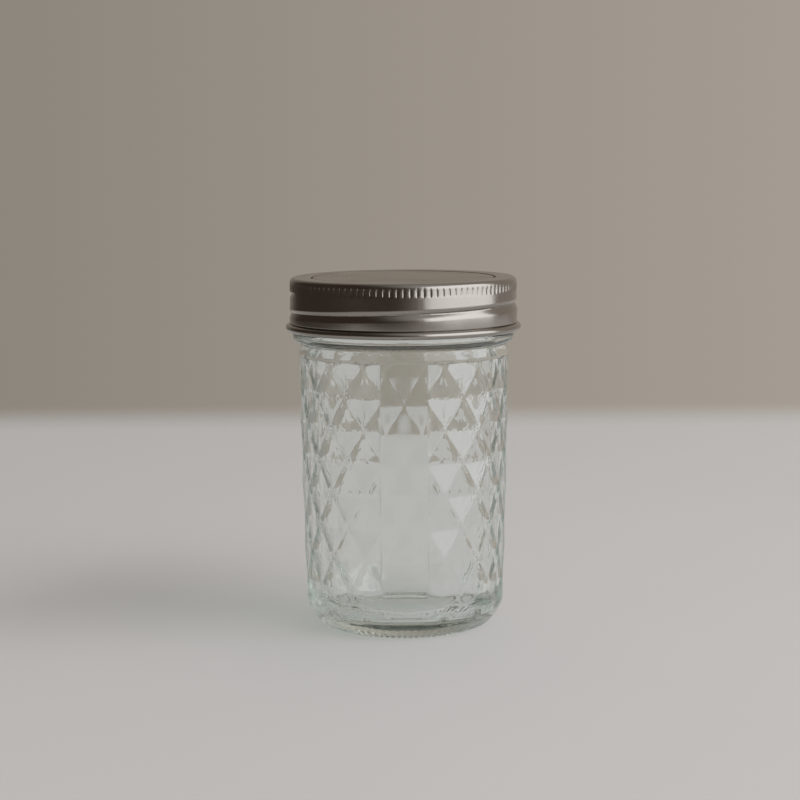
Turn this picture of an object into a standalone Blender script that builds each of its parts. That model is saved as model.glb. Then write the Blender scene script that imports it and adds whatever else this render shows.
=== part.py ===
"""A preserving jar: quilted clear glass, a flat lid disc and a screw band.

Metres, +Z up. The origin is the centre of the foot, on the surface that the jar stands on.
Angles run round the jar from the front (-Y) towards +X, and the plain panel faces the front.
"""

from math import atan2, cos, pi, radians, sin

import bmesh
import bpy

MM = 0.001
GAP = 0.3 * MM                     # clearance between pieces that touch

# Whole jar
TOTAL_HEIGHT = 112.0 * MM
MOUTH_RADIUS = 29.8 * MM           # bore of the neck

# Glass body: a wall that narrows gently towards the foot
SHOULDER_RADIUS = 33.3 * MM
SHOULDER_HEIGHT = 88.0 * MM
TAPER = 1.6 * MM                   # how much narrower the wall is where the heel starts
TAPER_POWER = 1.6
HEEL_HEIGHT = 9.5 * MM
HEEL_POWER = 1.6                   # 2 would be an ellipse, 1 a chamfer
FOOT_RADIUS = 23.9 * MM            # outer edge of the flat ring that the jar stands on
FOOT_WIDTH = 2.2 * MM
PUNT_RADIUS = 17.0 * MM            # the base is hollow underneath
PUNT_HEIGHT = 1.5 * MM

# Inside of the glass
INNER_TOP_RADIUS = 30.4 * MM
INNER_LOW_RADIUS = 28.9 * MM
FLOOR_HEIGHT = 6.4 * MM
FLOOR_CORNER = 8.0 * MM

# Quilted pattern: sunk diamonds, each with four facets
QUILT_ROUND = 16                   # diamonds in one row round the jar
QUILT_RISE = 10.22 * MM            # half the height of a diamond
QUILT_BASE = 15.4 * MM             # height of the lowest row of diamond centres
QUILT_ROWS = 8                     # rows of diamond centres
QUILT_DEPTH = 0.7 * MM
PANEL_ANGLE = radians(13.1)        # half of the plain panel at the front
PANEL_EDGE = radians(0.7)          # half of the slope between panel and quilt

# Bead under the band, and the neck inside the band
BEAD_RADIUS = 35.3 * MM
BEAD_BOTTOM = 91.1 * MM
BEAD_BOTTOM_RADIUS = 33.1 * MM
BEAD_TOP = 95.0 * MM
NECK_RADIUS = 33.4 * MM
LIP_HEIGHT = 110.2 * MM
LIP_ROUND = 0.9 * MM

# Right-hand thread, rolled into the band and moulded on the neck
THREAD_PITCH = 6.35 * MM
THREAD_FRONT = 102.1 * MM          # height of the band's groove at the front
THREAD_START = radians(-118)
THREAD_FADE = radians(18)          # each end fades out over this angle
GROOVE_END = radians(292)
GROOVE_DEPTH = 0.75 * MM
GROOVE_HALF = 1.35 * MM            # half the height of the groove
GLASS_THREAD_LIFT = 3.15 * MM      # the glass thread bears on the groove's ridge from above
GLASS_THREAD_END = radians(120)
GLASS_THREAD_DEPTH = 1.55 * MM
GLASS_THREAD_HALF = 1.2 * MM

# Screw band of sheet metal
BAND_RADIUS = 36.0 * MM
BAND_SHEET = 0.55 * MM
BAND_OPENING = 29.4 * MM
BAND_CORNER = 1.2 * MM
KNURLS = 110
KNURL_TOP = 110.9 * MM
KNURL_BOTTOM = 108.0 * MM
KNURL_DEPTH = 0.35 * MM
WALL_TOP = 107.6 * MM              # the wall between the knurls and the skirt
WALL_BOTTOM = 98.2 * MM
JOINT_RADIUS = 35.5 * MM           # the crease above the rolled edge
JOINT_HEIGHT = 96.95 * MM
ROLL_RADIUS = 37.5 * MM
ROLL_BOTTOM = 95.4 * MM

# Lid disc
DISC_RADIUS = 34.0 * MM
DISC_SHEET = 0.6 * MM
DISC_STEP_RADIUS = 28.6 * MM       # inside this radius the disc is raised
DISC_STEP = 0.45 * MM

GLASS_COLUMNS = 4 * QUILT_ROUND    # four to a diamond, so that the ridges run from corner to corner
BAND_COLUMNS = KNURLS // 2
DISC_COLUMNS = 64


def wall_radius(height):
    """Outer radius of the body from the foot to the shoulder, without the quilt."""
    if height >= HEEL_HEIGHT:
        drop = (SHOULDER_HEIGHT - height) / (SHOULDER_HEIGHT - HEEL_HEIGHT)
        return SHOULDER_RADIUS - TAPER * max(drop, 0.0) ** TAPER_POWER
    low = (HEEL_HEIGHT - height) / HEEL_HEIGHT
    bulge = (1.0 - low ** HEEL_POWER) ** (1.0 / HEEL_POWER)
    return FOOT_RADIUS + (SHOULDER_RADIUS - TAPER - FOOT_RADIUS) * bulge


def quilt_depth(angle, height):
    """How far the glass is sunk: most at a diamond's centre, nothing along its edges."""
    if abs(atan2(sin(angle), cos(angle))) < PANEL_ANGLE:
        return 0.0
    column = angle / (pi / QUILT_ROUND)
    row = (height - QUILT_BASE) / QUILT_RISE
    rising = 2 * round((column + row) / 2)
    falling = 2 * round((column - row) / 2)
    centre_row = (rising - falling) / 2
    if not 0 <= centre_row < QUILT_ROWS or row > QUILT_ROWS - 0.99:
        return 0.0
    off_centre = max(abs(column + row - rising), abs(column - row - falling))
    return QUILT_DEPTH * (1.0 - off_centre)


def thread(angle, height, lift, end, half):
    """How full the thread is at a place on the wall: 1 along its middle, 0 beside it."""
    full = 0.0
    first = atan2(sin(angle), cos(angle))
    for along in (first, first + 2.0 * pi):
        fade = min(1.0, (along - THREAD_START) / THREAD_FADE, (end - along) / THREAD_FADE)
        middle = THREAD_FRONT + lift + THREAD_PITCH * along / (2.0 * pi)
        away = abs(height - middle) / half
        if fade > 0.0 and away < 1.0:
            full = max(full, fade * 0.5 * (1.0 + cos(pi * away)))
    return full


def even_angles(count):
    return [2.0 * pi * i / count for i in range(count)]


def steps(first, last, count):
    """count values from first to last, both ends included."""
    return [first + (last - first) * i / (count - 1) for i in range(count)]


def arc(centre_radius, centre_height, width, rise, start, end, count):
    """Points of an elliptic arc in the section, from one angle to another above the horizontal."""
    return [(centre_radius + width * cos(radians(t)), centre_height + rise * sin(radians(t)))
            for t in steps(start, end, count)]


def add_ring(mesh, angles, height, radius, relief=None):
    """A ring of vertices. relief gives how much is taken off the radius at an angle and a height."""
    ring = []
    for angle in angles:
        r = radius - (relief(angle, height) if relief else 0.0)
        ring.append(mesh.verts.new((r * sin(angle), -r * cos(angle), height)))
    return ring


def bridge(mesh, lower, upper):
    """Faces between two rings. One ring may have a whole number of times the other's vertices."""
    few, many = sorted((lower, upper), key=len)
    ratio = len(many) // len(few)
    for i in range(len(few)):
        j = (i + 1) % len(few)
        if ratio == 1:
            mesh.faces.new((lower[i], lower[j], upper[j], upper[i]))
            continue
        middle = ratio // 2
        fan = [many[(i * ratio + k) % len(many)] for k in range(ratio + 1)]
        mesh.faces.new((few[i], few[j], fan[middle]))
        for k in range(ratio):
            mesh.faces.new((few[i] if k < middle else few[j], fan[k], fan[k + 1]))


def bridge_quilt(mesh, lower, upper, indices, row):
    """Triangles between two rings of the quilt, split along the diamonds' edges."""
    count = len(lower)
    for i in range(count):
        j = (i + 1) % count
        if (indices[i] + row) % 2:
            mesh.faces.new((lower[i], lower[j], upper[i]))
            mesh.faces.new((lower[j], upper[j], upper[i]))
        else:
            mesh.faces.new((lower[i], lower[j], upper[j]))
            mesh.faces.new((lower[i], upper[j], upper[i]))


def cap(mesh, ring, height):
    """A fan that closes a ring at the axis."""
    centre = mesh.verts.new((0.0, 0.0, height))
    for i in range(len(ring)):
        mesh.faces.new((ring[i], ring[(i + 1) % len(ring)], centre))


def finish(mesh, name, material, crease):
    """Make the object, with its faces pointing out and its round faces shaded smooth."""
    bmesh.ops.recalc_face_normals(mesh, faces=mesh.faces[:])
    data = bpy.data.meshes.new(name)
    mesh.to_mesh(data)
    mesh.free()
    data.shade_smooth()
    data.set_sharp_from_angle(angle=radians(crease))
    data.materials.append(material)
    body = bpy.data.objects.new(name, data)
    bpy.context.collection.objects.link(body)
    return body


def make_material(name, colour, roughness, metallic=0.0, transmission=0.0):
    material = bpy.data.materials.new(name)
    material.use_nodes = True
    shader = material.node_tree.nodes["Principled BSDF"]
    shader.inputs["Base Color"].default_value = (*colour, 1.0)
    shader.inputs["Roughness"].default_value = roughness
    shader.inputs["Metallic"].default_value = metallic
    shader.inputs["Transmission Weight"].default_value = transmission
    return material


def glass_columns():
    """Column numbers and angles. At each side of the panel a column is doubled into the slope."""
    columns = []
    for i in range(GLASS_COLUMNS):
        angle = 2.0 * pi * i / GLASS_COLUMNS
        if i == 2:
            columns += [(i, PANEL_ANGLE - PANEL_EDGE), (i, PANEL_ANGLE + PANEL_EDGE)]
        elif i == GLASS_COLUMNS - 2:
            columns += [(i, -PANEL_ANGLE - PANEL_EDGE), (i, -PANEL_ANGLE + PANEL_EDGE)]
        else:
            columns.append((i, angle))
    return columns


def make_jar():
    mesh = bmesh.new()
    columns = glass_columns()
    indices = [index for index, angle in columns]
    angles = [angle for index, angle in columns]
    half_rise = QUILT_RISE / 2.0

    def neck_thread(angle, height):
        return -GLASS_THREAD_DEPTH * thread(angle, height, GLASS_THREAD_LIFT, GLASS_THREAD_END,
                                            GLASS_THREAD_HALF)

    # From the hollow under the base to the start of the quilt on the heel
    foot = [(PUNT_RADIUS, PUNT_HEIGHT),
            (FOOT_RADIUS - FOOT_WIDTH, 0.0),
            (FOOT_RADIUS, 0.0)]
    heel = [(wall_radius(height), height) for height in (0.6 * MM, 1.8 * MM, 3.4 * MM)]
    rings = [add_ring(mesh, angles, height, radius) for radius, height in foot + heel]
    cap(mesh, rings[0], PUNT_HEIGHT)

    # The quilt, two rings to each half diamond
    quilt_rows = range(-2, 2 * QUILT_ROWS - 1)
    for row in quilt_rows:
        height = QUILT_BASE + row * half_rise
        rings.append(add_ring(mesh, angles, height, wall_radius(height), quilt_depth))

    # Smooth shoulder, bead, neck with its thread, and lip
    shoulder = [(SHOULDER_RADIUS, SHOULDER_HEIGHT - 0.4 * MM),
                (SHOULDER_RADIUS, SHOULDER_HEIGHT + 1.4 * MM),
                (BEAD_BOTTOM_RADIUS, BEAD_BOTTOM)]
    bead_middle = (BEAD_BOTTOM + BEAD_TOP) / 2.0 + 0.6 * MM
    bead_width = BEAD_RADIUS - BEAD_BOTTOM_RADIUS
    bead = (arc(BEAD_BOTTOM_RADIUS, bead_middle, bead_width, bead_middle - BEAD_BOTTOM, -60, 0, 4)
            + arc(BEAD_BOTTOM_RADIUS, bead_middle, bead_width, BEAD_TOP - bead_middle, 35, 70, 2))
    lip_round = arc(NECK_RADIUS - LIP_ROUND, LIP_HEIGHT - LIP_ROUND, LIP_ROUND, LIP_ROUND, 0, 90, 3)
    mouth_round = arc(MOUTH_RADIUS + LIP_ROUND, LIP_HEIGHT - LIP_ROUND, LIP_ROUND, LIP_ROUND, 90, 180, 3)
    rings += [add_ring(mesh, angles, height, radius) for radius, height in shoulder + bead]
    for height in steps(BEAD_TOP + 0.6 * MM, LIP_HEIGHT - 1.6 * MM, 12):
        rings.append(add_ring(mesh, angles, height, NECK_RADIUS, neck_thread))
    rings += [add_ring(mesh, angles, height, radius) for radius, height in lip_round + mouth_round]

    # Inside wall, from the mouth down to the floor
    corner_middle = FLOOR_HEIGHT + FLOOR_CORNER
    corner = arc(INNER_LOW_RADIUS - FLOOR_CORNER, corner_middle, FLOOR_CORNER, FLOOR_CORNER, 0, -90, 5)
    inside = [(MOUTH_RADIUS, BEAD_TOP), (INNER_TOP_RADIUS, SHOULDER_HEIGHT)] + corner
    rings += [add_ring(mesh, angles, height, radius) for radius, height in inside]
    cap(mesh, rings[-1], FLOOR_HEIGHT)

    first_quilt = len(foot + heel)
    for i in range(len(rings) - 1):
        row = i - first_quilt + quilt_rows[0]
        if 0 <= i - first_quilt < len(quilt_rows) - 1:
            bridge_quilt(mesh, rings[i], rings[i + 1], indices, row)
        else:
            bridge(mesh, rings[i], rings[i + 1])
    glass = make_material("jar_glass", (0.86, 0.92, 0.90), 0.04, transmission=1.0)
    return finish(mesh, "jar_glass", glass, 2.5)


def make_band():
    mesh = bmesh.new()
    coarse = even_angles(BAND_COLUMNS)
    medium = even_angles(KNURLS)
    fine = even_angles(2 * KNURLS)
    inner_radius = BAND_RADIUS - BAND_SHEET

    def groove(angle, height):
        return GROOVE_DEPTH * thread(angle, height, 0.0, GROOVE_END, GROOVE_HALF)

    def knurl(angle, height):
        return KNURL_DEPTH * (round(angle / fine[1]) % 2)

    # Rolled edge, the crease above it and the threaded wall, from the bottom up
    roll = 0.5 * (JOINT_HEIGHT - ROLL_BOTTOM)
    edge = arc(ROLL_RADIUS - roll, ROLL_BOTTOM + roll, roll, roll, -90, 80, 5)
    rings = [add_ring(mesh, medium, height, radius) for radius, height in edge]
    rings.append(add_ring(mesh, coarse, JOINT_HEIGHT, JOINT_RADIUS))
    wall = steps(WALL_BOTTOM, WALL_TOP, 12)
    rings += [add_ring(mesh, coarse, height, BAND_RADIUS, groove) for height in wall]

    # Knurls, top corner and the flange that holds the disc
    rings += [add_ring(mesh, fine, height, BAND_RADIUS, knurl) for height in (KNURL_BOTTOM, KNURL_TOP)]
    top_corner = arc(BAND_RADIUS - BAND_CORNER, TOTAL_HEIGHT - BAND_CORNER, BAND_CORNER, BAND_CORNER, 30, 90, 3)
    lip = 0.5 * BAND_SHEET
    opening = arc(BAND_OPENING + lip, TOTAL_HEIGHT - lip, lip, lip, 90, 270, 4)
    rings += [add_ring(mesh, coarse, height, radius) for radius, height in top_corner + opening]

    # Underside of the flange and the inside of the wall, from the top down
    under = TOTAL_HEIGHT - BAND_SHEET
    inner_corner = arc(inner_radius - GAP, under - GAP, GAP, GAP, 90, 0, 2)
    rings += [add_ring(mesh, coarse, height, radius) for radius, height in inner_corner]
    rings += [add_ring(mesh, coarse, height, inner_radius, groove) for height in reversed(wall)]
    skirt = [(JOINT_RADIUS - BAND_SHEET, JOINT_HEIGHT),
             (JOINT_RADIUS, JOINT_HEIGHT - roll)]
    rings += [add_ring(mesh, coarse, height, radius) for radius, height in skirt]

    for i in range(len(rings)):
        bridge(mesh, rings[i], rings[(i + 1) % len(rings)])
    metal = make_material("screw_band", (0.46, 0.43, 0.40), 0.32, metallic=1.0)
    return finish(mesh, "screw_band", metal, 30)


def make_disc():
    mesh = bmesh.new()
    angles = even_angles(DISC_COLUMNS)
    under = LIP_HEIGHT + GAP
    top = under + DISC_SHEET
    step_foot = DISC_STEP_RADIUS + DISC_STEP
    edge = 0.5 * DISC_SHEET
    rim = arc(DISC_RADIUS - edge, under + edge, edge, edge, -90, 90, 4)
    outline = ([(step_foot - DISC_SHEET, under)] + rim
               + [(step_foot, top), (DISC_STEP_RADIUS, top + DISC_STEP)])
    raised = (DISC_STEP_RADIUS - DISC_SHEET, under + DISC_STEP)
    rings = [add_ring(mesh, angles, height, radius) for radius, height in [raised] + outline]
    for i in range(len(rings) - 1):
        bridge(mesh, rings[i], rings[i + 1])
    cap(mesh, rings[0], under + DISC_STEP)
    cap(mesh, rings[-1], top + DISC_STEP)
    metal = make_material("lid_disc", (0.44, 0.41, 0.38), 0.30, metallic=1.0)
    return finish(mesh, "lid_disc", metal, 30)


def main():
    for old in list(bpy.data.objects):
        bpy.data.objects.remove(old)
    make_jar()
    make_disc()
    make_band()


main()
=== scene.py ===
import math

import bmesh
import bpy
import numpy as np
from mathutils import Matrix


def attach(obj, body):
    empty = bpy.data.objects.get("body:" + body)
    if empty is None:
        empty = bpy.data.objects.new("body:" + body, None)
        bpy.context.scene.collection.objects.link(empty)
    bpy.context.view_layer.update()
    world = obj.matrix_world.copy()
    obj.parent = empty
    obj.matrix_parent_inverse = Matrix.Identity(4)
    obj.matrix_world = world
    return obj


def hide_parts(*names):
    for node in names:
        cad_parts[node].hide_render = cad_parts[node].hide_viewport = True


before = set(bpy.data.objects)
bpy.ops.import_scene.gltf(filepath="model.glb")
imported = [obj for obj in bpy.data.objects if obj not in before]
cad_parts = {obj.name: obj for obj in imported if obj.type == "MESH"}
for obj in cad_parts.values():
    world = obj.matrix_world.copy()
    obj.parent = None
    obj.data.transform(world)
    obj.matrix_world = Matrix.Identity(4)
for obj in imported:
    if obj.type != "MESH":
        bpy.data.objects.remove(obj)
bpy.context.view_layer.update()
mm = 0.001
touching = 0.001 * mm   # points nearer than this become one
print("frame:", len(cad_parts), "nodes")


def deselectAll():
    if bpy.context.object and bpy.context.object.mode != "OBJECT":
        bpy.ops.object.mode_set(mode="OBJECT")
    bpy.ops.object.select_all(action="DESELECT")


def pick(piece):
    deselectAll()
    piece.select_set(True)
    bpy.context.view_layer.objects.active = piece


def steps(first, last, count):  # both ends are included
    return [first + (last - first) * i / (count - 1) for i in range(count)]


def arc(centreRadius, centreHeight, width, rise, start, end, count):
    # points of an ellipse in the section, at angles in degrees above the horizontal
    angles = [math.radians(t) for t in steps(start, end, count)]
    return [(centreRadius + width * math.cos(t), centreHeight + rise * math.sin(t)) for t in angles]


def turnProfile(name, points, columns, closed):
    # draw the section from a single vertex, all in mm, then turn it round the jar's axis
    deselectAll()
    bpy.ops.mesh.primitive_plane_add(size=2 * mm, location=(0, 0, 0))
    piece = bpy.context.object
    piece.name = name
    bpy.ops.object.mode_set(mode="EDIT")
    bpy.ops.mesh.select_all(action="SELECT")
    bpy.ops.mesh.merge(type="CENTER")
    radius, height = points[0]
    bpy.ops.transform.translate(value=(0, -radius * mm, height * mm))
    for nextRadius, nextHeight in points[1:]:
        step = (0, (radius - nextRadius) * mm, (nextHeight - height) * mm)
        bpy.ops.mesh.extrude_region_move(TRANSFORM_OT_translate={"value": step})
        radius, height = nextRadius, nextHeight
    if closed:  # join the last point to the first
        section = bmesh.from_edit_mesh(piece.data)
        for vertex in section.verts:
            vertex.select_set(len(vertex.link_edges) == 1)
        bpy.ops.mesh.edge_face_add()
    bpy.ops.object.mode_set(mode="OBJECT")
    turn = piece.modifiers.new("turn", "SCREW")
    turn.axis = "Z"
    turn.angle = 2 * math.pi
    turn.steps = turn.render_steps = columns
    turn.use_merge_vertices = True
    turn.merge_threshold = touching
    bpy.ops.object.modifier_apply(modifier="turn")
    bpy.ops.object.mode_set(mode="EDIT")
    bpy.ops.mesh.select_all(action="SELECT")
    bpy.ops.mesh.remove_doubles(threshold=touching)
    bpy.ops.mesh.normals_make_consistent(inside=False)
    bpy.ops.object.mode_set(mode="OBJECT")
    return piece


def smoothStep(value):
    value = np.clip(value, 0, 1)
    return value * value * (3 - 2 * value)


def readPolar(piece):
    # every vertex as its angle from the front towards +X, its radius and its height in mm
    flat = np.empty(len(piece.data.vertices) * 3)
    piece.data.vertices.foreach_get("co", flat)
    x, y, z = flat.reshape(-1, 3).T / mm
    return np.arctan2(x, -y), np.hypot(x, y), z


def writePolar(piece, angle, radius, height):
    places = np.stack([radius * np.sin(angle), -radius * np.cos(angle), height], axis=1) * mm
    piece.data.vertices.foreach_set("co", places.ravel())
    piece.data.update()


def finishPiece(piece, smoothBelow, material):
    # edges flatter than this many degrees are shaded smooth
    pick(piece)
    bpy.ops.object.shade_smooth_by_angle(angle=math.radians(smoothBelow))
    piece.data.materials.clear()
    piece.data.materials.append(material)
    print(piece.name + ":", len(piece.data.polygons), "faces")
    return piece


def newMaterial(name):
    material = bpy.data.materials.new(name)
    material.use_nodes = True
    return material, material.node_tree, material.node_tree.nodes["Principled BSDF"]


def objectPlace(tree):
    return tree.nodes.new("ShaderNodeTexCoord").outputs["Object"]


def splitNode(tree, place):
    node = tree.nodes.new("ShaderNodeSeparateXYZ")
    tree.links.new(place, node.inputs[0])
    return [node.outputs[axis] for axis in "XYZ"]


def noiseNode(tree, place, scale, detail):
    node = tree.nodes.new("ShaderNodeTexNoise")
    node.inputs["Scale"].default_value = scale
    node.inputs["Detail"].default_value = detail
    tree.links.new(place, node.inputs["Vector"])
    return node.outputs["Fac"]


def scaleNode(tree, source, low, high, newLow, newHigh):
    # a straight line from newLow, at low, to newHigh, at high
    node = tree.nodes.new("ShaderNodeMapRange")
    node.inputs["From Min"].default_value = low
    node.inputs["From Max"].default_value = high
    node.inputs["To Min"].default_value = newLow
    node.inputs["To Max"].default_value = newHigh
    tree.links.new(source, node.inputs["Value"])
    return node.outputs["Result"]


def rangeNode(tree, source, ends):
    # 0 at the first end and 1 at the second, with soft ends
    node = tree.nodes.new("ShaderNodeMapRange")
    node.interpolation_type = "SMOOTHSTEP"
    node.inputs["From Min"].default_value, node.inputs["From Max"].default_value = ends
    tree.links.new(source, node.inputs["Value"])
    return node.outputs["Result"]


def mathNode(tree, operation, first, second):
    node = tree.nodes.new("ShaderNodeMath")
    node.operation = operation
    tree.links.new(first, node.inputs[0])
    tree.links.new(second, node.inputs[1])
    return node.outputs["Value"]


def timesNode(tree, first, second):
    return mathNode(tree, "MULTIPLY", first, second)


def bumpNode(tree, height, depth, shader):
    # depth is in mm, for a height from 0 to 1
    node = tree.nodes.new("ShaderNodeBump")
    node.inputs["Strength"].default_value = 1.0
    node.inputs["Distance"].default_value = depth * mm
    tree.links.new(height, node.inputs["Height"])
    tree.links.new(node.outputs["Normal"], shader.inputs["Normal"])


def mixNode(tree, factor, first, second):
    # first and second are plain colours or sockets
    node = tree.nodes.new("ShaderNodeMix")
    node.data_type = "RGBA"
    tree.links.new(factor, node.inputs["Factor"])
    for value, colour in ((first, node.inputs[6]), (second, node.inputs[7])):
        if isinstance(value, tuple):
            colour.default_value = (*value, 1)
        else:
            tree.links.new(value, colour)
    return node.outputs[2]


jar = {   # lengths are in mm and angles in degrees from the front
    "columns": 320,             # round the jar, twenty to a diamond
    "diamondsRound": 16,
    "diamondRise": 10.22,       # half the height of a diamond
    "lowestRise": 5.8,          # the last half diamonds are cut short by the heel
    "lowestCentre": 15.4,       # height of the lowest row of diamond centres
    "centreRows": 8,
    "rowsPerRise": 10,
    "diamondDepth": 1.15,
    "farShallower": 0.45,       # the far side is pressed less deeply
    "farFrom": 125,
    "farBlend": 30,
    "panelHalfAngle": 13.1,
    "panelEdge": 0.3,           # half the width of the slope beside the panel
    "shoulderRadius": 33.3,
    "shoulderHeight": 88.0,
    "shoulderStep": 0.14,       # the shoulder stands this far proud of the wall
    "taper": 1.6,
    "taperPower": 1.6,
    "heelHeight": 9.5,
    "heelPower": 1.6,
    "heelRows": (1.0, 1.3, 1.7, 2.2, 2.9, 3.7, 4.4),
    "footRadius": 23.9,
    "footRingInside": 21.8,
    "footRingRadius": 24.2,
    "footRingHeight": 0.8,
    "footRibs": 80,
    "footRibDepth": 0.5,
    "heelRibDepth": 0.9,
    "heelRibTop": 3.5,
    # sections are points of radius and height
    "under": ((0, 1.7), (8, 1.7), (15, 1.7), (18.8, 1.5), (20.8, 0.9), (21.6, 0.15)),
    "beadCentre": (33.0, 93.6),
    "beadSize": (2.3, 2.2),
    "neckRadius": 33.4,
    "neckFrom": 96.6,
    "neckTo": 109.2,
    "mouth": ((29.8, 104), (29.8, 98), (29.9, 95), (30.15, 92), (30.35, 89.5)),
    "boreHeights": (14, 24, 38, 52, 66, 78, 86.5),
    "boreRadii": (28.9, 29.1, 29.45, 29.8, 30.1, 30.3, 30.4),
    "boreRows": 42,
    "boreLimits": (28.8, 30.7),   # the wall inside lies between these radii
    "innerShare": 0.8,          # how far the wall inside follows the quilt
    "innerSpare": 0.2,          # and stands back to make room for that
    "innerFrom": 12,            # between these heights
    "innerFromBlend": 6,
    "innerTo": 88,
    "innerToBlend": 5,
    "innerPanelBlend": 3,
    "floorHeight": 6.0,
    "floorCorner": 8.0,
    "smoothBelow": 32,
}


def wallRadius(height):
    top, taper = jar["shoulderRadius"], jar["taper"]
    heel, foot = jar["heelHeight"], jar["footRadius"]
    drop = np.clip((jar["shoulderHeight"] - height) / (jar["shoulderHeight"] - heel), 0, 1)
    wall = top - taper * drop ** jar["taperPower"]
    low = np.clip((heel - height) / heel, 0, 1)
    bulge = (1 - low ** jar["heelPower"]) ** (1 / jar["heelPower"])
    return np.where(height >= heel, wall, foot + (top - taper - foot) * bulge)


def quiltDepth(angle):
    far = smoothStep((np.abs(np.degrees(angle)) - jar["farFrom"]) / jar["farBlend"])
    return jar["diamondDepth"] * (1 - jar["farShallower"] * far)


def quiltPlace(angle, height):
    # counted in half diamonds, round from the front and up from the lowest centres
    half = math.pi / jar["diamondsRound"]
    return angle / half, (height - jar["lowestCentre"]) / jar["diamondRise"]


def quiltEnds():
    base, rise = jar["lowestCentre"], jar["diamondRise"]
    return base - rise, base + (jar["centreRows"] - 1) * rise


def quiltRadius(angle, height):
    # each diamond is four flat facets that meet in its sunk centre
    half = math.pi / jar["diamondsRound"]
    column, row = quiltPlace(angle, height)
    rising = 2 * np.round((column + row) / 2)
    falling = 2 * np.round((column - row) / 2)
    centreRow = (rising - falling) / 2
    centreColumn = (rising + falling) / 2
    below = row < 0
    centreRow = np.where(below, 0, centreRow)
    centreColumn = np.where(below, 2 * np.round(column / 2), centreColumn)

    fromCentre = np.abs(column - centreColumn) * half
    up = np.abs(row - centreRow) * np.where(below, jar["diamondRise"] / jar["lowestRise"], 1)
    lowRow = np.floor(row + 1e-6)
    part = row - lowRow
    lowWall = wallRadius(jar["lowestCentre"] + lowRow * jar["diamondRise"])
    highWall = wallRadius(jar["lowestCentre"] + (lowRow + 1) * jar["diamondRise"])
    straightWall = lowWall + (highWall - lowWall) * part
    depth = quiltDepth(angle)
    side = (depth - straightWall * (1 - math.cos(half))) / (straightWall * math.sin(half))
    facet = (straightWall - depth * (1 - up)) / (np.cos(fromCentre) - side * np.sin(fromCentre))
    return np.minimum(facet, wallRadius(height))


def innerWave(angle, height):
    # the wall inside follows the quilt softly
    column, row = quiltPlace(angle, height)
    wave = 0.5 + 0.5 * np.cos(math.pi * column) * np.cos(math.pi * row)
    ends = smoothStep((height - jar["innerFrom"]) / jar["innerFromBlend"])
    ends = ends * smoothStep((jar["innerTo"] - height) / jar["innerToBlend"])
    beside = smoothStep((np.abs(np.degrees(angle)) - jar["panelHalfAngle"]) / jar["innerPanelBlend"])
    return jar["innerShare"] * quiltDepth(angle) * wave * ends * beside


def drawJar():
    # the section from the middle of the foot up the outside, over the lip and down to the floor inside
    rise, base = jar["diamondRise"], jar["lowestCentre"]
    ringRadius, ringTop = jar["footRingRadius"], jar["footRingHeight"]
    ring = [(21.9, 0), (22.8, 0), (23.8, 0), (ringRadius - 0.25, 0), (ringRadius, 0.2),
            (ringRadius + 0.1, ringTop)]
    heel = [(float(wallRadius(z)), z) for z in jar["heelRows"]]
    quilt = []
    for i in range(-jar["rowsPerRise"], (jar["centreRows"] - 1) * jar["rowsPerRise"] + 1):
        height = base + rise * i / jar["rowsPerRise"]
        quilt.append((float(wallRadius(height)), height))
    top = jar["shoulderRadius"]
    proud = top + jar["shoulderStep"]
    shoulder = [(top, 87.2), (top + 0.02, 87.45), (proud, 87.85), (proud, 88.4), (proud - 0.02, 89.2),
                (proud - 0.12, 90.0), (proud - 0.3, 90.7), (33.12, 91.0), (33.15, 91.25)]
    bead = arc(*jar["beadCentre"], *jar["beadSize"], -68, 60, 11)
    neckTo = jar["neckTo"]
    neck = [(33.6, 95.9)] + [(jar["neckRadius"], z) for z in steps(jar["neckFrom"], neckTo, 19)]
    lip = arc(32.4, neckTo, 1.0, 1.0, 20, 90, 5) + arc(30.9, neckTo, 1.1, 1.0, 90, 180, 6)
    boreRows = steps(quiltEnds()[1], base + 0.25 * rise, jar["boreRows"])
    bore = [(float(np.interp(z, jar["boreHeights"], jar["boreRadii"])), z) for z in boreRows]
    level, corner = jar["floorHeight"], jar["floorCorner"]
    floor = arc(jar["boreRadii"][0] - corner, level + corner, corner, corner, 0, -90, 12)
    floor += [(14, level - 0.05), (7, level - 0.15), (0, level - 0.2)]
    outer = list(jar["under"]) + ring + heel + quilt + shoulder + bead + neck
    return outer + lip + list(jar["mouth"]) + bore + floor


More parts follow.
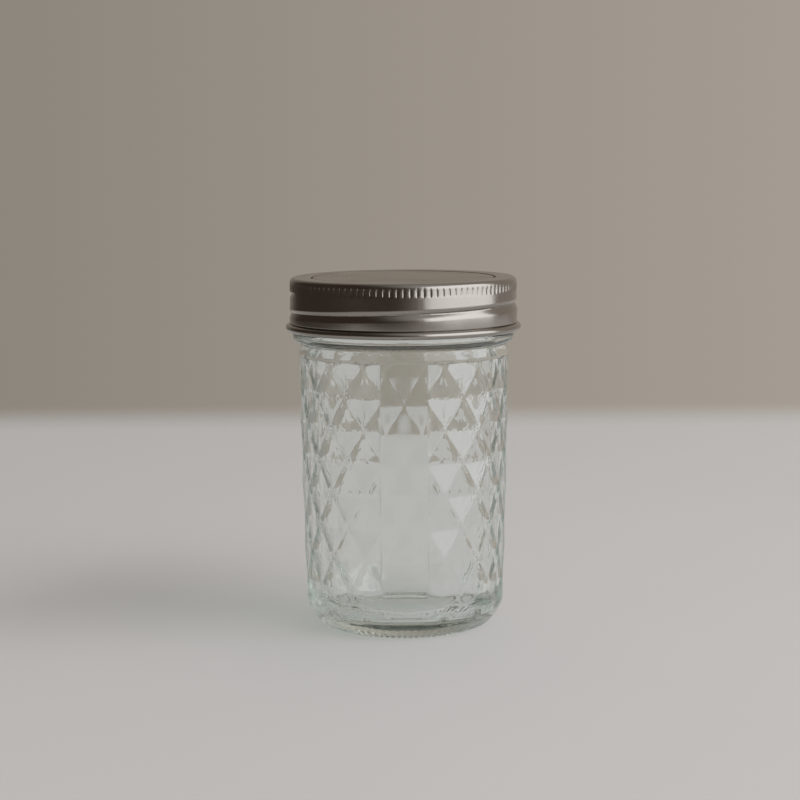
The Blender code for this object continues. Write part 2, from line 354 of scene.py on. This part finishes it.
def buildJar():
    piece = turnProfile("jarGlass", drawJar(), jar["columns"], closed=False)

    angle, radius, height = readPolar(piece)
    outside = np.abs(radius - wallRadius(height)) < 0.02
    bottom, top = quiltEnds()
    quilted = outside & (height > bottom - 0.01) & (height < top + 0.01)

    # two columns at each side of the front panel move to the foot and the top of its edge
    edge, slope = jar["panelHalfAngle"], jar["panelEdge"]
    pitch = 360 / jar["columns"]
    column = np.round(np.degrees(angle) / pitch)
    inner = math.floor(edge / pitch)
    moved = np.where(np.abs(column) == inner, np.sign(column) * (edge - slope), np.degrees(angle))
    moved = np.where(np.abs(column) == inner + 1, np.sign(column) * (edge + slope), moved)
    angle = np.where(radius > 1, np.radians(moved), angle)
    onQuilt = quilted & (np.abs(np.degrees(angle)) > edge)
    radius = np.where(onQuilt, quiltRadius(angle, height), radius)

    boreLow, boreHigh = jar["boreLimits"]
    onBore = (radius > boreLow) & (radius < boreHigh)
    onBore = onBore & (height > jar["innerFrom"]) & (height < jar["innerTo"])
    radius = np.where(onBore, radius - innerWave(angle, height) + jar["innerSpare"], radius)

    # ribs on the ring that the jar stands on and on the heel above it
    onFoot = (height < 0.1) & (radius > jar["footRingInside"]) & (radius < jar["footRingRadius"])
    low = np.cos(angle * jar["footRibs"] + math.pi / 4) < 0
    height = np.where(onFoot & low, height + jar["footRibDepth"], height)
    ribTop = jar["heelRibTop"]
    onHeel = outside & (height > jar["heelRows"][0] - 0.1) & (height < ribTop)
    radius = np.where(onHeel & low, radius - jar["heelRibDepth"] * (ribTop - height) / ribTop, radius)
    writePolar(piece, angle, radius, height)
    splitAlongRidges(piece)
    return piece


def splitAlongRidges(piece):
    # a quad of the quilt is cut along the diamond edge that is nearest
    bottom, top = quiltEnds()
    wallInside = jar["boreLimits"][1] - 0.1
    mesh = bmesh.new()
    mesh.from_mesh(piece.data)
    for face in [f for f in mesh.faces if len(f.verts) == 4]:
        middle = face.calc_center_median() / mm
        if not bottom < middle.z < top or math.hypot(middle.x, middle.y) < wallInside:
            continue
        column, row = quiltPlace(math.atan2(middle.x, -middle.y), middle.z)
        toFalling = abs((column + row) / 2 % 1 - 0.5)
        toRising = abs((column - row) / 2 % 1 - 0.5)
        corners = sorted(face.verts, key=lambda v: v.co.z)
        lowPair = sorted(corners[:2], key=lambda v: math.atan2(v.co.x, -v.co.y))
        highPair = sorted(corners[2:], key=lambda v: math.atan2(v.co.x, -v.co.y))
        if abs(column) > jar["diamondsRound"] - 0.5:
            lowPair.sort(key=lambda v: -v.co.x)
            highPair.sort(key=lambda v: -v.co.x)
        if toFalling < toRising:
            bmesh.utils.face_split(face, lowPair[1], highPair[0])
        else:
            bmesh.utils.face_split(face, lowPair[0], highPair[1])
    mesh.to_mesh(piece.data)
    mesh.free()


glass = {
    "colour": (0.975, 0.99, 0.985),
    "bend": 1.52,
    "absorbed": (0.62, 0.86, 0.74),   # the tint of thick glass
    "density": 5.0,
    "waveScale": 150.0,
    "waveDetail": 1.0,
    "waveStretch": (1.0, 1.0, 0.45),
    "waveDepth": 0.1,           # mm
    "outerShare": 0.2,          # the wall outside is hardly wavy
    "innerTo": 30.7,            # mm from the axis
    "outerFrom": 30.9,
    "shadow": (0.925, 0.94, 0.933),
    "bounces": 24,              # light crosses many walls in the glass
}


def glassMaterial():
    material, tree, shader = newMaterial("pressedGlass")
    nodes, links = tree.nodes, tree.links
    shader.inputs["Base Color"].default_value = (*glass["colour"], 1)
    shader.inputs["Roughness"].default_value = 0.0
    shader.inputs["IOR"].default_value = glass["bend"]
    shader.inputs["Transmission Weight"].default_value = 1.0
    absorb = nodes.new("ShaderNodeVolumeAbsorption")
    absorb.inputs["Color"].default_value = (*glass["absorbed"], 1)
    absorb.inputs["Density"].default_value = glass["density"]
    links.new(absorb.outputs["Volume"], nodes["Material Output"].inputs["Volume"])

    # the inner wall is wavy where the glass was blown, the outer one hardly
    place = objectPlace(tree)
    stretch = nodes.new("ShaderNodeMapping")
    stretch.inputs["Scale"].default_value = glass["waveStretch"]
    links.new(place, stretch.inputs["Vector"])
    waves = noiseNode(tree, stretch.outputs["Vector"], glass["waveScale"], glass["waveDetail"])
    x, y, z = splitNode(tree, place)
    flatten = nodes.new("ShaderNodeCombineXYZ")
    links.new(x, flatten.inputs["X"])
    links.new(y, flatten.inputs["Y"])
    radius = nodes.new("ShaderNodeVectorMath")
    radius.operation = "LENGTH"
    links.new(flatten.outputs["Vector"], radius.inputs[0])
    inner = scaleNode(tree, radius.outputs["Value"], glass["innerTo"] * mm, glass["outerFrom"] * mm,
                      1.0, glass["outerShare"])
    bumpNode(tree, timesNode(tree, waves, inner), glass["waveDepth"], shader)

    # light passes straight through for shadows, so that the jar's shadow stays pale
    rays = nodes.new("ShaderNodeLightPath")
    clear = nodes.new("ShaderNodeBsdfTransparent")
    clear.inputs["Color"].default_value = (*glass["shadow"], 1)
    surface = shader.outputs["BSDF"]
    for kind in ("Is Shadow Ray", "Is Diffuse Ray"):
        mix = nodes.new("ShaderNodeMixShader")
        links.new(rays.outputs[kind], mix.inputs[0])
        links.new(surface, mix.inputs[1])
        links.new(clear.outputs["BSDF"], mix.inputs[2])
        surface = mix.outputs["Shader"]
    links.new(surface, nodes["Material Output"].inputs["Surface"])
    return material


band = {   # lengths are in mm and angles in degrees from the front
    "knurls": 110,
    "columnPlaces": (0.0, 0.08, 0.17, 0.26, 0.85, 0.9, 0.95),   # in parts of one knurl
    "knurlDepth": 0.16,
    "knurlGentleSide": 0.26,    # the groove's two sides, in parts of one knurl
    "knurlSteepSide": 0.15,
    "knurlTop": 110.6,
    "knurlBottom": 107.9,
    "knurlTopFade": 1.6,
    "knurlBottomFade": 0.6,
    "radius": 36.1,
    "wallTop": 107.5,
    "wallRows": 56,
    "totalHeight": 112.0,
    "cornerRound": 1.5,
    "sheet": 0.45,
    "openingRadius": 29.4,
    "rollRadius": 37.47,
    "rollBottom": 95.0,
    "rollTop": 97.4,
    "bulge": 0.25,              # below the groove the wall is wider
    "bulgeTop": 103.6,
    "bulgeBottom": 101.2,
    "tuck": 0.2,                # and then draws in towards the roll
    "tuckPower": 1.5,
    "threadPitch": 6.35,
    "threadFront": 102.5,       # height of the groove at the front
    "threadStart": -118,
    "threadEnd": 292,
    "threadFade": 18,
    "grooveDepth": 0.75,
    "grooveAbove": 1.5,
    "grooveBelow": 1.9,
    "grooveRound": 0.08,
    "powerAbove": 2.2,          # steep at the bottom and easing out above
    "powerBelow": 1.3,
    "skirt": ((35.5, 97.8), (35.35, 97.2), (35.4, 96.6), (35.8, 96.0)),
    "smoothBelow": 50,
    "colour": (0.369, 0.341, 0.314),
    "roughness": 0.2,
    "smudge": 0.05,
}


def threadDepth(angle, height):
    depth = np.zeros_like(height)
    for turn in (0, 360):
        along = np.degrees(angle) + turn
        middle = band["threadFront"] + band["threadPitch"] * along / 360
        toEnd = np.minimum(along - band["threadStart"], band["threadEnd"] - along)
        fade = smoothStep(toEnd / band["threadFade"])
        above = height - middle
        reach = np.where(above > 0, band["grooveAbove"], band["grooveBelow"])
        soft = band["grooveRound"]
        away = (np.hypot(above, soft) - soft) / reach
        groove = np.clip(1 - away, 0, 1) ** np.where(above > 0, band["powerAbove"], band["powerBelow"])
        depth = np.maximum(depth, fade * band["grooveDepth"] * groove)
    return depth


def drawBand():
    # the section from the rolled edge up the outside, over the top and down the inside
    r, top, sheet = band["radius"], band["totalHeight"], band["sheet"]
    roll = 0.5 * (band["rollTop"] - band["rollBottom"])
    rollHeight = band["rollBottom"] + roll
    edge = arc(band["rollRadius"] - roll, rollHeight, roll, roll, -110, 95, 13)
    crease, wallTop = band["rollTop"], band["wallTop"]
    foot = r + band["bulge"] - band["tuck"]
    joint = [(foot - 0.25, crease), (foot - 0.02, crease + 0.25)]
    wall = [(r, z) for z in steps(crease + 0.35, wallTop, band["wallRows"])]
    knurl = [(r, wallTop + 0.2)] + [(r, z) for z in steps(band["knurlBottom"], band["knurlTop"], 9)]
    turn = band["cornerRound"]
    corner = arc(r - turn, top - turn, turn, turn, 6, 88, 10)
    flange = [(34.0, top - 0.01), (32.6, top - 0.03), (31.2, top - 0.04), (30.3, top - 0.04)]
    lip = arc(band["openingRadius"] + 0.35, top - 0.39, 0.35, 0.34, 80, 250, 6)
    under = [(30.3, top - sheet - 0.05), (33.0, top - sheet - 0.05), (34.7, top - sheet - 0.1),
             (35.2, top - 1.0), (r - sheet, top - 1.7)]
    innerWall = [(r - sheet, z) for z in steps(108.2, 98.4, 12)]
    outer = edge + joint + wall + knurl + corner + flange
    return outer + lip + under + innerWall + list(band["skirt"])


def buildBand():
    columns = band["knurls"] * len(band["columnPlaces"])
    piece = turnProfile("screwBand", drawBand(), columns, closed=True)
    crease, wallTop = band["rollTop"], band["wallTop"]

    # the columns close up where a knurl's groove is
    angle, radius, height = readPolar(piece)
    pitch = 360 / band["knurls"]
    turned = np.degrees(angle) / pitch
    number = np.floor(turned + 1e-4)
    places = np.array(band["columnPlaces"])
    part = places[np.round((turned - number) * len(places)).astype(int) % len(places)]
    angle = np.radians((number + part) * pitch)

    # the sheet is pressed as a whole, its inner side too
    onWall = (height > crease + 0.3) & (height < wallTop + 0.1) & (radius > 35)
    radius = radius - np.where(onWall, threadDepth(angle, height), 0)
    wider = smoothStep((band["bulgeTop"] - height) / (band["bulgeTop"] - band["bulgeBottom"]))
    drop = np.clip((band["bulgeBottom"] - height) / (band["bulgeBottom"] - crease), 0, 1)
    shape = band["bulge"] * wider - band["tuck"] * drop ** band["tuckPower"]
    radius = radius + np.where(onWall, shape, 0)

    fromGroove = np.minimum(part / band["knurlGentleSide"], (1 - part) / band["knurlSteepSide"])
    groove = 1 - smoothStep(fromGroove)
    ends = smoothStep((height - band["knurlBottom"] + 0.2) / band["knurlBottomFade"])
    ends = ends * smoothStep((band["knurlTop"] - height + 0.5) / band["knurlTopFade"])
    onKnurl = (height > wallTop + 0.15) & (height < band["knurlTop"] + 0.8) & (radius > 35.7)
    radius = radius - np.where(onKnurl, band["knurlDepth"] * groove * ends, 0)
    writePolar(piece, angle, radius, height)
    return piece


disc = {
    "columns": 160,
    "under": 110.5,
    "radius": 33.9,
    "sheet": 0.5,
    "stepRadius": 28.7,
    "step": 0.87,               # the middle stands this far above the rim
    # points of radius, and rise from the rim's top or the middle's
    "stepFoot": ((29.35, 0), (29.15, 0.02), (29.05, 0.12), (28.95, 0.4)),
    "stepHead": ((28.8, -0.12), (28.5, -0.03), (28.0, 0)),
    "middle": ((27.0, 0), (26.0, -0.01), (24.0, -0.02), (22, -0.02), (15, -0.01), (7, 0), (0, 0)),
    "smoothBelow": 40,
    "colour": (0.374, 0.336, 0.279),
    "roughness": 0.22,
    "smudge": 0.08,
}


def buildDisc():
    low, sheet, rise = disc["under"], disc["sheet"], disc["step"]
    top = low + sheet
    r = disc["stepRadius"]
    underside = [(0, low + rise), (20, low + rise), (r - 0.9, low + rise), (r - 0.2, low)]
    rim = arc(disc["radius"] - sheet / 2, low + sheet / 2, sheet / 2, sheet / 2, -80, 80, 6)
    foot = [(radius, top + up) for radius, up in disc["stepFoot"]]
    middle = [(radius, top + rise + up) for radius, up in disc["stepHead"] + disc["middle"]]
    return turnProfile("lidDisc", underside + rim + foot + middle, disc["columns"], closed=False)


tinplate = {
    "smudgeScale": 45,
    "smudgeFrom": 0.45,         # only the strongest part of the noise is a smudge
    "smudgeTo": 0.75,
    "grainScale": 1600,
    "grainShare": 0.04,         # of the height of the waves
    "waveScale": 120,
    "depth": 0.03,              # mm
    "toneLow": 0.94,
    "toneHigh": 1.06,
}


def buildMetalFinish():
    # rolled tinplate: fine grain, faint smudges and a slightly uneven sheet
    group = bpy.data.node_groups.new("metalFinish", "ShaderNodeTree")
    for name, kind, inOut in (
            ("Colour", "NodeSocketColor", "INPUT"), ("Roughness", "NodeSocketFloat", "INPUT"),
            ("Smudge", "NodeSocketFloat", "INPUT"), ("Colour", "NodeSocketColor", "OUTPUT"),
            ("Roughness", "NodeSocketFloat", "OUTPUT"), ("Height", "NodeSocketFloat", "OUTPUT")):
        group.interface.new_socket(name=name, in_out=inOut, socket_type=kind)
    given = group.nodes.new("NodeGroupInput").outputs
    result = group.nodes.new("NodeGroupOutput").inputs
    place = objectPlace(group)
    smudge = noiseNode(group, place, tinplate["smudgeScale"], detail=3)
    grain = noiseNode(group, place, tinplate["grainScale"], detail=2)
    waves = noiseNode(group, place, tinplate["waveScale"], detail=1)
    smudged = rangeNode(group, smudge, (tinplate["smudgeFrom"], tinplate["smudgeTo"]))
    smudged = timesNode(group, smudged, given["Smudge"])
    group.links.new(mathNode(group, "ADD", given["Roughness"], smudged), result["Roughness"])
    shade = group.nodes.new("ShaderNodeVectorMath")
    shade.operation = "SCALE"
    group.links.new(given["Colour"], shade.inputs[0])
    tone = scaleNode(group, smudge, 0, 1, tinplate["toneLow"], tinplate["toneHigh"])
    group.links.new(tone, shade.inputs["Scale"])
    group.links.new(shade.outputs["Vector"], result["Colour"])
    height = group.nodes.new("ShaderNodeMath")
    height.operation = "MULTIPLY_ADD"
    group.links.new(grain, height.inputs[0])
    height.inputs[1].default_value = tinplate["grainShare"]
    group.links.new(waves, height.inputs[2])
    group.links.new(height.outputs["Value"], result["Height"])
    return group


def metalMaterial(name, finish, part):
    material, tree, shader = newMaterial(name)
    shader.inputs["Metallic"].default_value = 1.0
    surface = tree.nodes.new("ShaderNodeGroup")
    surface.node_tree = finish
    surface.inputs["Colour"].default_value = (*part["colour"], 1)
    surface.inputs["Roughness"].default_value = part["roughness"]
    surface.inputs["Smudge"].default_value = part["smudge"]
    tree.links.new(surface.outputs["Colour"], shader.inputs["Base Color"])
    tree.links.new(surface.outputs["Roughness"], shader.inputs["Roughness"])
    bumpNode(tree, surface.outputs["Height"], tinplate["depth"], shader)
    return material


table = {   # metres
    "colour": (0.80, 0.79, 0.788),
    "cloudScale": 6,
    "cloudTones": (0.985, 1.015),   # the paint's darkest and palest parts
    "roughness": (0.74, 0.86),
    "toothScale": 900,
    "toothDepth": 0.02,         # mm
    "back": 0.584,
    "front": -0.47,
    "left": -0.5,
    "right": 0.85,
    "edgeSoftness": 0.12,
}


def buildTable():
    deselectAll()
    back, front, left, right = (table[side] for side in ("back", "front", "left", "right"))
    bpy.ops.mesh.primitive_plane_add(size=1, location=(0, 0, 0))
    floor = bpy.context.object
    floor.name = "floor"
    places = [(left, front, 0), (right, front, 0), (left, back, 0), (right, back, 0)]
    for vertex, place in zip(floor.data.vertices, places):
        vertex.co = place

    # a painted top, a little cloudy and with a fine tooth
    material, tree, shader = newMaterial("tableTop")
    place = objectPlace(tree)
    clouds = noiseNode(tree, place, table["cloudScale"], detail=3)
    dark, pale = (tuple(tone * c for c in table["colour"]) for tone in table["cloudTones"])
    tree.links.new(mixNode(tree, clouds, dark, pale), shader.inputs["Base Color"])
    tree.links.new(scaleNode(tree, clouds, 0, 1, *table["roughness"]), shader.inputs["Roughness"])
    tooth = noiseNode(tree, place, table["toothScale"], detail=2)
    bumpNode(tree, tooth, table["toothDepth"], shader)

    # the top fades out at its edges
    x, y, z = splitNode(tree, place)
    soft = table["edgeSoftness"]
    alpha = rangeNode(tree, y, (back, back - soft))
    for across, ends in ((y, (front, front + soft)), (x, (left, left + soft)), (x, (right, right - soft))):
        alpha = timesNode(tree, alpha, rangeNode(tree, across, ends))
    tree.links.new(alpha, shader.inputs["Alpha"])
    floor.data.materials.append(material)
    print("table: ready")


# a pair of numbers is where a change starts and ends, along a direction of length one from
# the jar: across to the right, back away from the camera, and up
room = {
    "wallLeft": (0.262, 0.236, 0.200),
    "wallRight": (0.372, 0.333, 0.288),
    "wallShading": (-0.18, 0.18),
    "wallBack": (0.1, 0.5),
    "wallAcross": (-0.75, -0.3),
    "dark": (0.062, 0.047, 0.037),
    "side": (0.30, 0.27, 0.24),
    "sideAcross": (-0.15, 0.45),
    "ceiling": (0.50, 0.49, 0.47),
    "ceilingUp": (0.15, 0.8),
    "ceilingAcross": (-0.5, 0.3),
    "throughDark": (0.25, 0.262, 0.247),
    "throughWindow": (0.78, 0.80, 0.81),
    "throughAcross": (0.3, 0.6),
}


def buildRoom():
    world = bpy.data.worlds.new("room")
    bpy.context.scene.world = world
    world.use_nodes = True
    tree = world.node_tree
    x, y, z = splitNode(tree, tree.nodes.new("ShaderNodeTexCoord").outputs["Generated"])
    wall = mixNode(tree, scaleNode(tree, x, *room["wallShading"], 0, 1), room["wallLeft"], room["wallRight"])
    # the room is dark to the left and behind the camera, and paler beside the window
    mirrored = mixNode(tree, rangeNode(tree, x, room["sideAcross"]), room["dark"], room["side"])
    lit = timesNode(tree, rangeNode(tree, z, room["ceilingUp"]), rangeNode(tree, x, room["ceilingAcross"]))
    mirrored = mixNode(tree, lit, mirrored, room["ceiling"])
    onWall = timesNode(tree, rangeNode(tree, y, room["wallBack"]), rangeNode(tree, x, room["wallAcross"]))
    mirrored = mixNode(tree, onWall, mirrored, wall)
    # what the eye and the glass see of the room is paler than what the metal mirrors
    beside = rangeNode(tree, x, room["throughAcross"])
    through = mixNode(tree, beside, room["throughDark"], room["throughWindow"])
    through = mixNode(tree, onWall, through, wall)
    rays = tree.nodes.new("ShaderNodeLightPath").outputs
    seen = mathNode(tree, "MAXIMUM", rays["Is Camera Ray"], rays["Is Transmission Ray"])
    tree.links.new(mixNode(tree, seen, mirrored, through), tree.nodes["Background"].inputs["Color"])
    print("room: ready")


window = {   # metres
    "radiance": 1.6,
    "colour": (0.94, 0.985, 1.03),
    "from": 22,                 # degrees from the camera towards the right
    "to": 102.5,
    "distance": 2.6,
    "bottom": -0.28,
    "top": 3.1,
}

lamp = {   # metres
    "radiance": 2.78,
    "colour": (1.0, 0.985, 0.97),
    "place": (1.85, -0.85, 1.55),
    "size": (1.8, 1.35),
}


def buildPanel(name, light, place, size, turn):
    # a soft panel that the camera doesn't see
    deselectAll()
    bpy.ops.object.light_add(type="AREA", location=place)
    panel = bpy.context.object
    panel.name = name
    panel.data.shape = "RECTANGLE"
    panel.data.size, panel.data.size_y = size
    panel.data.energy = light["radiance"] * math.pi * size[0] * size[1]
    panel.data.color = light["colour"]
    panel.rotation_euler = turn
    panel.visible_camera = False
    return panel


def buildLights():
    start, end = math.radians(window["from"]), math.radians(window["to"])
    angle, away = (start + end) / 2, window["distance"]
    low, high = window["bottom"], window["top"]
    place = (away * math.sin(angle), -away * math.cos(angle), (low + high) / 2)
    size = (2 * away * math.tan((end - start) / 2), high - low)
    panel = buildPanel("window", window, place, size, (math.radians(90), 0, angle))
    panel.visible_transmission = False
    x, y, z = lamp["place"]
    tilt = math.atan2(math.hypot(x, y), z)
    panel = buildPanel("lamp", lamp, (x, y, z), lamp["size"], (tilt, 0, math.atan2(x, -y)))
    panel.visible_glossy = False
    print("lights: ready")


view = {   # metres and degrees
    "distance": 0.727,
    "height": 0.161,
    "side": -0.00125,
    "down": 6.95,
    "roll": -0.38,
    "lens": 102.9,              # mm
    "sensor": 36,               # mm
    "nearest": 0.01,
}


def buildCamera():
    deselectAll()
    place = (view["side"], -view["distance"], view["height"])
    bpy.ops.object.camera_add(location=place)
    camera = bpy.context.object
    camera.data.lens = view["lens"]
    camera.data.sensor_width = view["sensor"]
    camera.data.clip_start = view["nearest"]
    turn = Matrix.Rotation(math.radians(90 - view["down"]), 4, "X")
    turn = turn @ Matrix.Rotation(math.radians(view["roll"]), 4, "Z")
    camera.matrix_world = Matrix.Translation(place) @ turn
    bpy.context.scene.camera = camera
    print("camera: ready")


jarGlass = finishPiece(buildJar(), jar["smoothBelow"], glassMaterial())
metalFinish = buildMetalFinish()
screwBand = finishPiece(buildBand(), band["smoothBelow"], metalMaterial("bandTinplate", metalFinish, band))
lidDisc = finishPiece(buildDisc(), disc["smoothBelow"], metalMaterial("discTinplate", metalFinish, disc))

for piece, node, slot in ((jarGlass, "jar_glass", "glass"), (screwBand, "screw_band", "band_metal"),
                          (lidDisc, "lid_disc", "disc_metal")):
    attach(piece, "root")
    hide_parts(node)

buildTable()
buildRoom()
buildLights()
buildCamera()
bpy.context.scene.view_settings.view_transform = "Standard"
cycles = bpy.context.scene.cycles
cycles.max_bounces = glass["bounces"]
cycles.glossy_bounces = glass["bounces"]
cycles.transmission_bounces = glass["bounces"]
cycles.transparent_max_bounces = glass["bounces"]

deselectAll()
